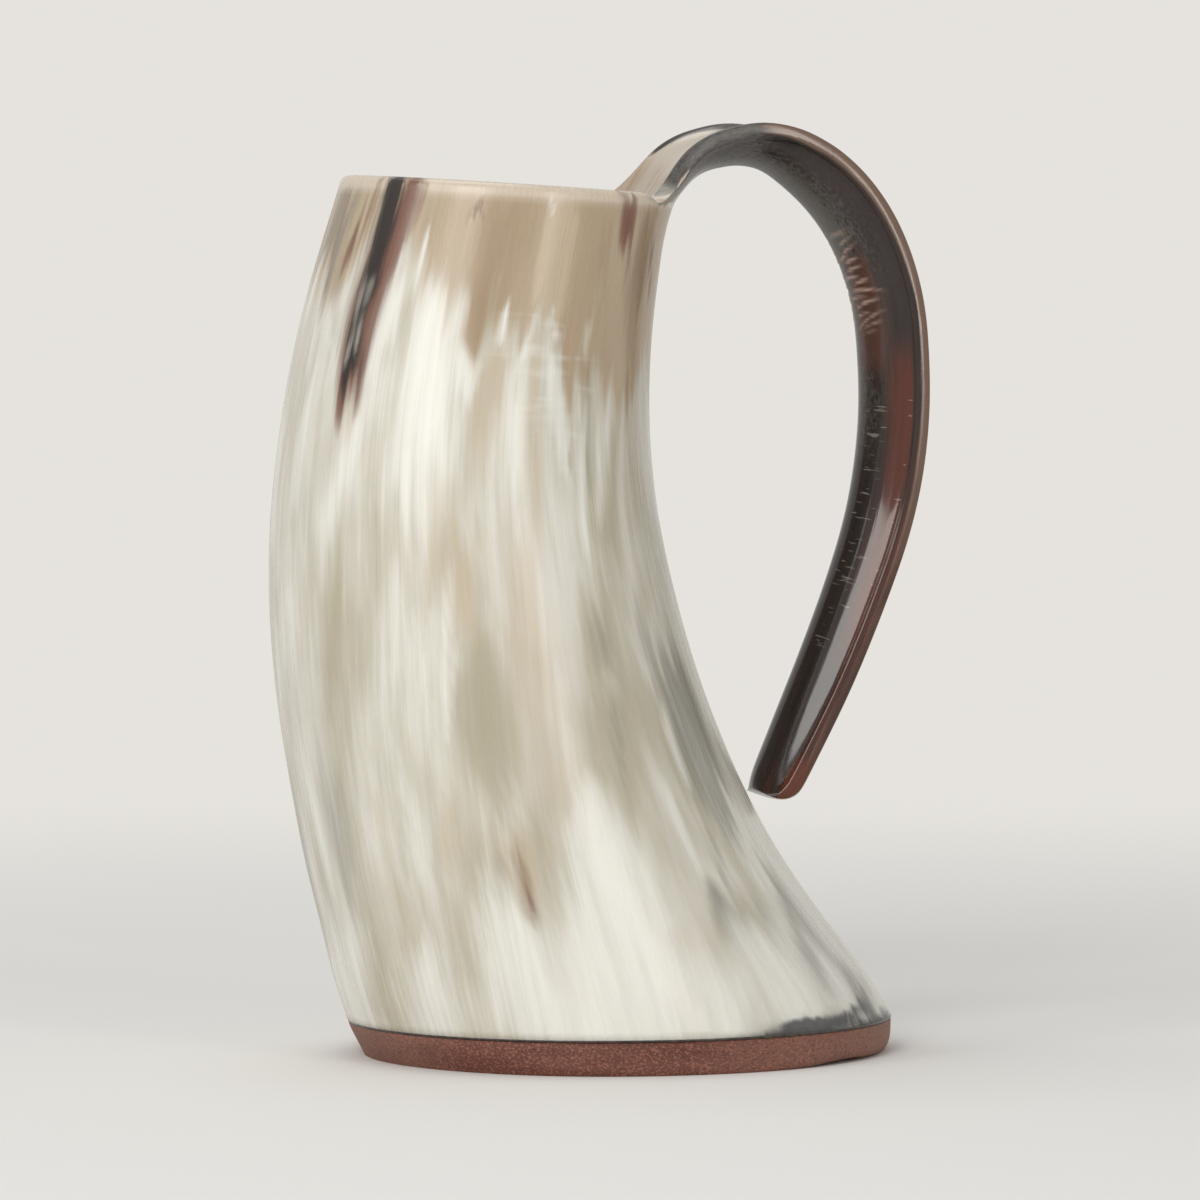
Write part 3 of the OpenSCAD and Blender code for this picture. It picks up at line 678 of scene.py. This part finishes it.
# Horn: keratin in layers, scraped, sanded and polished with wax. Milky and slightly see-through,
# with fine fibres along the horn, so the light goes in a little and the gloss lies on top.
hornFinish = {
    # patterns in mm: [size across the fibres, size along them, detail]
    "patterns": {"fibre": [0.8, 48, 3], "streak": [2.8, 28, 4], "cloud": [18, 56, 3], "grain": [0.4, 0.8, 3],
                 "dash": [1.5, 24, 2], "nick": [3.4, 0.5, 1], "ripple": [9, 1.7, 1]},
    "patternRoughness": 0.6,
    "tornFrom": (0.36, 0.64),  # between these values a pattern tears a mark's edge inwards and outwards
    "torn": (0.55, 0.45),  # how much streak and fibre there is in the pattern that tears the marks
    "blends": {"cloud": (0.36, 0.64), "torn": (0.38, 0.62), "fibre": (0.35, 0.65)},
    # grey and pale dashes in the white: where they start and are full, and their strength
    "dashes": {"greyDash": (0.48, 0.28, 0.3), "paleDash": (0.52, 0.75, 0.38)},
    "dashesInTan": 0.15,  # how much of the dashes is left in the tan zone and on the handle
    "ground": ("cloud", "#c0b9a5", "#e3e0d5"),
    # Layers of colour, each over the last: [mark, strength, colour, and for a torn edge the pattern,
    # how far it tears, and where the mark starts and is full]. Two colours are blended by a pattern.
    "layers": [
        ["greyDash", 1, "#a9a390"],
        ["paleDash", 1, "#efeee6"],
        ["tan", 1, ("cloud", "#b09b80", "#bba98e"), "torn", 0.3, 0.05, 0.95],
        # shade and band are the painted shade and sheen of the tan zone's planed facets
        ["shade", 0.65, "#8b745c", "torn", 0.16, 0.1, 0.9],
        ["band", 0.65, "#cab9a0", "torn", 0.1, 0.25, 0.5],
        ["olive", 0.85, "#aea68d", "torn", 0.22, 0, 1.2],
        ["beige", 0.85, "#c5b59b", "torn", 0.22, 0, 1.2],
        ["slate", 0.8, "#7a776e", "torn", 0.25, 0, 1.2],
        ["chalk", 0.95, "#eeede5", "torn", 0.2, 0, 1.2],
        ["ripple", 0.4, "#f0efe8", "ripple", 0.45, 0.4, 1.7],
        # painted highlight: a pale line along the lip
        ["rim", 0.8, "#dacdbb"],
        ["rust", 0.9, "#6c3a27", "torn", 0.25, 0.05, 0.9],
        ["dark", 0.98, "#190e0b", "torn", 0.28, 0.05, 0.7],
        ["ink", 0.9, "#2e3034", "torn", 0.3, 0.1, 0.8],
        ["scratch", 0.6, "#c9c4ba", "torn", 0.3, 0.1, 1],
        ["inner", 0.55, "#b3a488"],
        ["strip", 1, ("torn", "#191210", "#2f1f1b")],
        ["amber", 0.85, "#5c2615", "torn", 0.2, 0.1, 0.9],
        ["tip", 0.9, "#602c15", "torn", 0.2, 0.1, 1],
        ["pink", 0.8, "#55372f", "torn", 0.2, 0.1, 0.9],
        # sanded grey, partly a painted sheen of the lamps
        ["hazeAndSheen", 0.85, "#64625e", "grain", 0.22, 0, 1.1],
        # painted highlight on the wrinkles' ridges
        ["wrinkleHighlight", 0.8, "#c2a598"],
        ["cutBand", 0.9, "#755b4b", "torn", 0.2, 0.1, 0.9],
        ["nick", 0.5, "#98908a", "nick", 0.5, 1.4, 1.75],
        ["rootCream", 1, "#c6bcad", "torn", 0.25, 0.15, 0.85],
        ["rootTan", 1, "#a98c70", "torn", 0.3, 0.2, 0.9],
    ],
    "cleanBelow": 0.3,  # a mark weaker than this lets less and less of its torn edge show
    "fibreShade": (0.955, 1.025),  # how the fibres darken and lighten the colour
    "roughness": (0.27, 0.55),  # polished, and sanded or left as it was inside
    "fibreRoughness": (-0.04, 0.05),
    "waxedHandle": -0.17,  # the wax takes this off the handle's roughness
    "ior": 1.54,
    "fibreRelief": 0.006 * mm,
    "sandedRelief": 0.05 * mm,
    "milky": 0.1,  # the share of light that goes in, and none does in the dark streak
    "lightDepth": (1.0, 0.75, 0.5), "lightScale": 2 * mm,  # red goes deepest
}


def polishedCowHorn(finish):
    material, tree = startMaterial("polished_cow_horn")
    flow = add(tree, "Attribute", attribute_name="flow").outputs["Vector"]
    share = {row[0]: add(tree, "Attribute", attribute_name=row[0]).outputs["Fac"] for row in finish["layers"]}
    drawn = {}
    for name, (wide, tall, detail) in finish["patterns"].items():
        spot = add(tree, "Mapping", {"Vector": flow, "Scale": (1 / wide, 1 / wide, 1 / tall)})
        drawn[name] = add(tree, "TexNoise", {"Vector": spot.outputs[0], "Scale": 1.0, "Detail": detail,
                                             "Roughness": finish["patternRoughness"]}).outputs["Fac"]
    torn = add(tree, "Math", {0: drawn["fibre"], 1: finish["torn"][1]}, operation="MULTIPLY").outputs[0]
    drawn["torn"] = add(tree, "Math", {0: drawn["streak"], 1: finish["torn"][0], 2: torn},
                        operation="MULTIPLY_ADD").outputs[0]
    blend = {name: add(tree, "MapRange", {"Value": drawn[name], 1: low, 2: high}).outputs[0]
             for name, (low, high) in finish["blends"].items()}
    clear = add(tree, "Math", {0: share["tan"], 1: share["strip"]}, operation="ADD").outputs[0]
    clear = add(tree, "MapRange", {"Value": clear, 3: 1.0, 4: finish["dashesInTan"]}).outputs[0]
    for name, (start, full, strength) in finish["dashes"].items():
        dash = add(tree, "MapRange", {"Value": drawn["dash"], 1: start, 2: full, 4: strength}).outputs[0]
        share[name] = add(tree, "Math", {0: dash, 1: clear}, operation="MULTIPLY").outputs[0]

    def tornMark(mark, strength, pattern, far, start, full):  # a painted share, its edge torn by a pattern
        low, high = finish["tornFrom"]
        spread = add(tree, "MapRange", {"Value": drawn[pattern], 1: low, 2: high, 3: -far, 4: far},
                     clamp=False)
        total = add(tree, "Math", {0: share[mark], 1: spread.outputs[0]}, operation="ADD")
        gate = add(tree, "MapRange", {"Value": total.outputs[0], 1: start, 2: full, 4: strength},
                   interpolation_type="SMOOTHSTEP")
        clean = add(tree, "MapRange", {"Value": share[mark], 1: 0.0, 2: finish["cleanBelow"]},
                    interpolation_type="SMOOTHSTEP")
        return add(tree, "Math", {0: gate.outputs[0], 1: clean.outputs[0]}, operation="MULTIPLY").outputs[0]

    def tinted(tint):  # one colour, or two blended by a pattern
        if isinstance(tint, str):
            return linear(tint)
        pattern, first, second = tint
        return layered(tree, linear(first), [[blend[pattern], linear(second)]])

    layers = []
    for mark, strength, tint, *edge in finish["layers"]:
        amount = tornMark(mark, strength, *edge) if edge else add(
            tree, "Math", {0: share[mark], 1: strength}, operation="MULTIPLY").outputs[0]
        layers.append([amount, tinted(tint)])
    colour = layered(tree, tinted(finish["ground"]), layers)
    low, high = finish["fibreShade"]
    fibreShade = add(tree, "MapRange", {"Value": blend["torn"], 3: low, 4: high}).outputs[0]
    colour = add(tree, "VectorMath", {0: colour, 1: fibreShade}, operation="MULTIPLY").outputs[0]

    # Sanding makes the handle's top duller, and the inner wall was never polished. Wax adds gloss.
    dull = add(tree, "Math", {0: share["hazeAndSheen"], 1: share["inner"]}, operation="MAXIMUM").outputs[0]
    low, high = finish["roughness"]
    rough = add(tree, "MapRange", {"Value": dull, 3: low, 4: high}).outputs[0]
    low, high = finish["fibreRoughness"]
    grain = add(tree, "MapRange", {"Value": blend["fibre"], 3: low, 4: high}).outputs[0]
    rough = add(tree, "Math", {0: rough, 1: grain}, operation="ADD").outputs[0]
    rough = add(tree, "Math", {0: share["strip"], 1: finish["waxedHandle"], 2: rough},
                operation="MULTIPLY_ADD").outputs[0]
    height = add(tree, "Math", {0: blend["fibre"], 1: finish["fibreRelief"]}, operation="MULTIPLY").outputs[0]
    sanding = add(tree, "Math", {0: share["hazeAndSheen"], 1: drawn["grain"]}, operation="MULTIPLY").outputs[0]
    height = add(tree, "Math", {0: sanding, 1: finish["sandedRelief"], 2: height},
                 operation="MULTIPLY_ADD").outputs[0]
    bump = add(tree, "Bump", {"Height": height, "Distance": 1.0, "Strength": 1.0})
    milky = add(tree, "MapRange", {"Value": share["dark"], 3: finish["milky"], 4: 0.0}).outputs[0]
    surface = add(tree, "BsdfPrincipled", {
        "Base Color": colour, "Roughness": rough, "IOR": finish["ior"], "Normal": bump.outputs[0],
        "Subsurface Weight": milky, "Subsurface Radius": finish["lightDepth"],
        "Subsurface Scale": finish["lightScale"]})
    add(tree, "OutputMaterial", {"Surface": surface.outputs[0]})
    return material


cup.data.materials.append(polishedCowHorn(hornFinish))
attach(cup, "root")
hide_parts("horn_body", "handle")
print("horn finished")


# the wooden base
base = {
    "levels": 2,
    "topZ": 5.7, "topNear": 0.05,
    "spigotZ": 14.0,
    "crease": 0.85,
    # the worn place on the lower edge, mm: where, how long and deep, and how far up and in it reaches
    "worn": {"place": (28, -29), "long": 9, "deep": 0.7, "up": 2.5, "in": 3.0},
}
wood = copyNodes("base_plug", ["wooden_base"])
pick(wood, "EDGE", lambda p: p.z < flat or abs(p.z - base["topZ"]) < base["topNear"] or p.z > base["spigotZ"])
bpy.ops.transform.edge_crease(value=base["crease"])
finishPiece(wood, base["levels"])
worn = base["worn"]
place = points(wood)
x, y, z = place.T
atRim = np.hypot(x, y) > math.hypot(*worn["place"]) - worn["in"]
away = np.hypot(x - worn["place"][0], y - worn["place"][1])
place[:, 2] += worn["deep"] * bell(away, worn["long"]) * smooth(1 - z / worn["up"]) * atRim
moveTo(wood, place)

# Hardwood plug, sanded and stained: open pores with pale dust in them, so it looks speckled.
woodFinish = {
    # pores, the dust in them and bands of growth: [size in mm along X, Y and Z, detail, roughness, start]
    "patterns": {"pores": [(1.1667, 0.4, 0.4), 3, 0.7, (0, 0, 0)],
                 "dust": [(0.45, 0.375, 0.325), 2, 0.5, (2.4, 0.8, 1.6)],
                 "growth": [(37.5, 10, 5), 3, 0.5, (0, 0, 0)]},
    # painted highlight: paler towards both ends, where the rounded ends catch the light: from and to in X,
    # mm, and its strength
    "ends": [(-5, 45, 0.5), (-36, -48, 0.35)],
    "sealed": (8, 9),  # mm up: above this the spigot is coated with resin
    "wood": "#5a2c20",
    # [pattern, where it starts and is full, strength, colour]
    "layers": [
        ["growth", 0.35, 0.65, 1.0, "#714434"],
        # painted highlight towards both ends of the base
        ["endGrain", 0.0, 1.0, 1.0, "#a07c6c"],
        ["pores", 0.48, 0.66, 0.7, "#4a241d"],
        ["dust", 0.49, 0.66, 0.6, "#a8705c"],
        ["sealed", 0.0, 1.0, 1.0, "#3c241d"],
    ],
    "roughness": (0.62, 0.3),  # bare and sealed
    "ior": 1.5,
    "poreRelief": 0.12 * mm, "poreStrength": 0.8,
}


def stainedHardwood(finish):
    material, tree = startMaterial("stained_hardwood_sanded")
    spot = add(tree, "TexCoord").outputs["Object"]
    apart = add(tree, "SeparateXYZ", {0: spot})
    drawn = {}
    for name, (sizes, detail, roughness, start) in finish["patterns"].items():
        sized = add(tree, "Mapping", {"Vector": spot, "Scale": [1 / (size * mm) for size in sizes],
                                      "Location": start})
        drawn[name] = add(tree, "TexNoise", {"Vector": sized.outputs[0], "Scale": 1.0, "Detail": detail,
                                             "Roughness": roughness}).outputs["Fac"]
    ends = [add(tree, "MapRange", {"Value": apart.outputs["X"], 1: start * mm, 2: full * mm,
                                   4: strength}).outputs[0] for start, full, strength in finish["ends"]]
    # painted highlight towards both ends of the base
    drawn["endGrain"] = add(tree, "Math", {0: ends[0], 1: ends[1]}, operation="MAXIMUM").outputs[0]
    low, high = (level * mm for level in finish["sealed"])
    drawn["sealed"] = add(tree, "MapRange", {"Value": apart.outputs["Z"], 1: low, 2: high}).outputs[0]
    layers = []
    for name, start, full, strength, tint in finish["layers"]:
        amount = add(tree, "MapRange", {"Value": drawn[name], 1: start, 2: full, 4: strength}).outputs[0]
        layers.append([amount, linear(tint)])
    colour = layered(tree, linear(finish["wood"]), layers)
    bare, sealed = finish["roughness"]
    rough = add(tree, "MapRange", {"Value": drawn["sealed"], 3: bare, 4: sealed}).outputs[0]
    bump = add(tree, "Bump", {"Height": drawn["pores"], "Distance": finish["poreRelief"],
                              "Strength": finish["poreStrength"]})
    surface = add(tree, "BsdfPrincipled", {"Base Color": colour, "Roughness": rough, "IOR": finish["ior"],
                                           "Normal": bump.outputs[0]})
    add(tree, "OutputMaterial", {"Surface": surface.outputs[0]})
    return material


wood.data.materials.append(stainedHardwood(woodFinish))
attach(wood, "root")
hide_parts("wooden_base")
print("wooden base finished")


# Epoxy resin, tinted dark and set hard: smooth and glossy, with dust in it that breaks its colour.
resin = {
    # [CAD node, piece, crease of its edges]: the seam under the horn and the bead inside
    "pieces": [["resin_seam", "seam_line", 1.0], ["inner_seal", "seal_bead", 0.3]],
    "levels": 1,
    "clear": "#211c1a", "dusty": "#4a403a",
    "dustSize": 1.5 * mm, "dustDetail": 3, "dustFrom": (0.4, 0.65),
    "roughness": 0.3, "ior": 1.55,
}


def darkEpoxyResin():
    material, tree = startMaterial("dark_epoxy_resin")
    spot = add(tree, "TexCoord").outputs["Object"]
    dust = add(tree, "TexNoise", {"Vector": spot, "Scale": 1 / resin["dustSize"],
                                  "Detail": resin["dustDetail"]}).outputs["Fac"]
    low, high = resin["dustFrom"]
    dust = add(tree, "MapRange", {"Value": dust, 1: low, 2: high}).outputs[0]
    colour = layered(tree, linear(resin["clear"]), [[dust, linear(resin["dusty"])]])
    surface = add(tree, "BsdfPrincipled", {"Base Color": colour, "Roughness": resin["roughness"],
                                           "IOR": resin["ior"]})
    add(tree, "OutputMaterial", {"Surface": surface.outputs[0]})
    return material


material = darkEpoxyResin()
for node, name, crease in resin["pieces"]:
    piece = copyNodes(name, [node])
    pick(piece, "EDGE", lambda p: True)
    bpy.ops.transform.edge_crease(value=crease)
    finishPiece(piece, resin["levels"])
    piece.data.materials.append(material)
    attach(piece, "root")
    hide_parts(node)
print("resin finished")

bpy.context.view_layer.update()
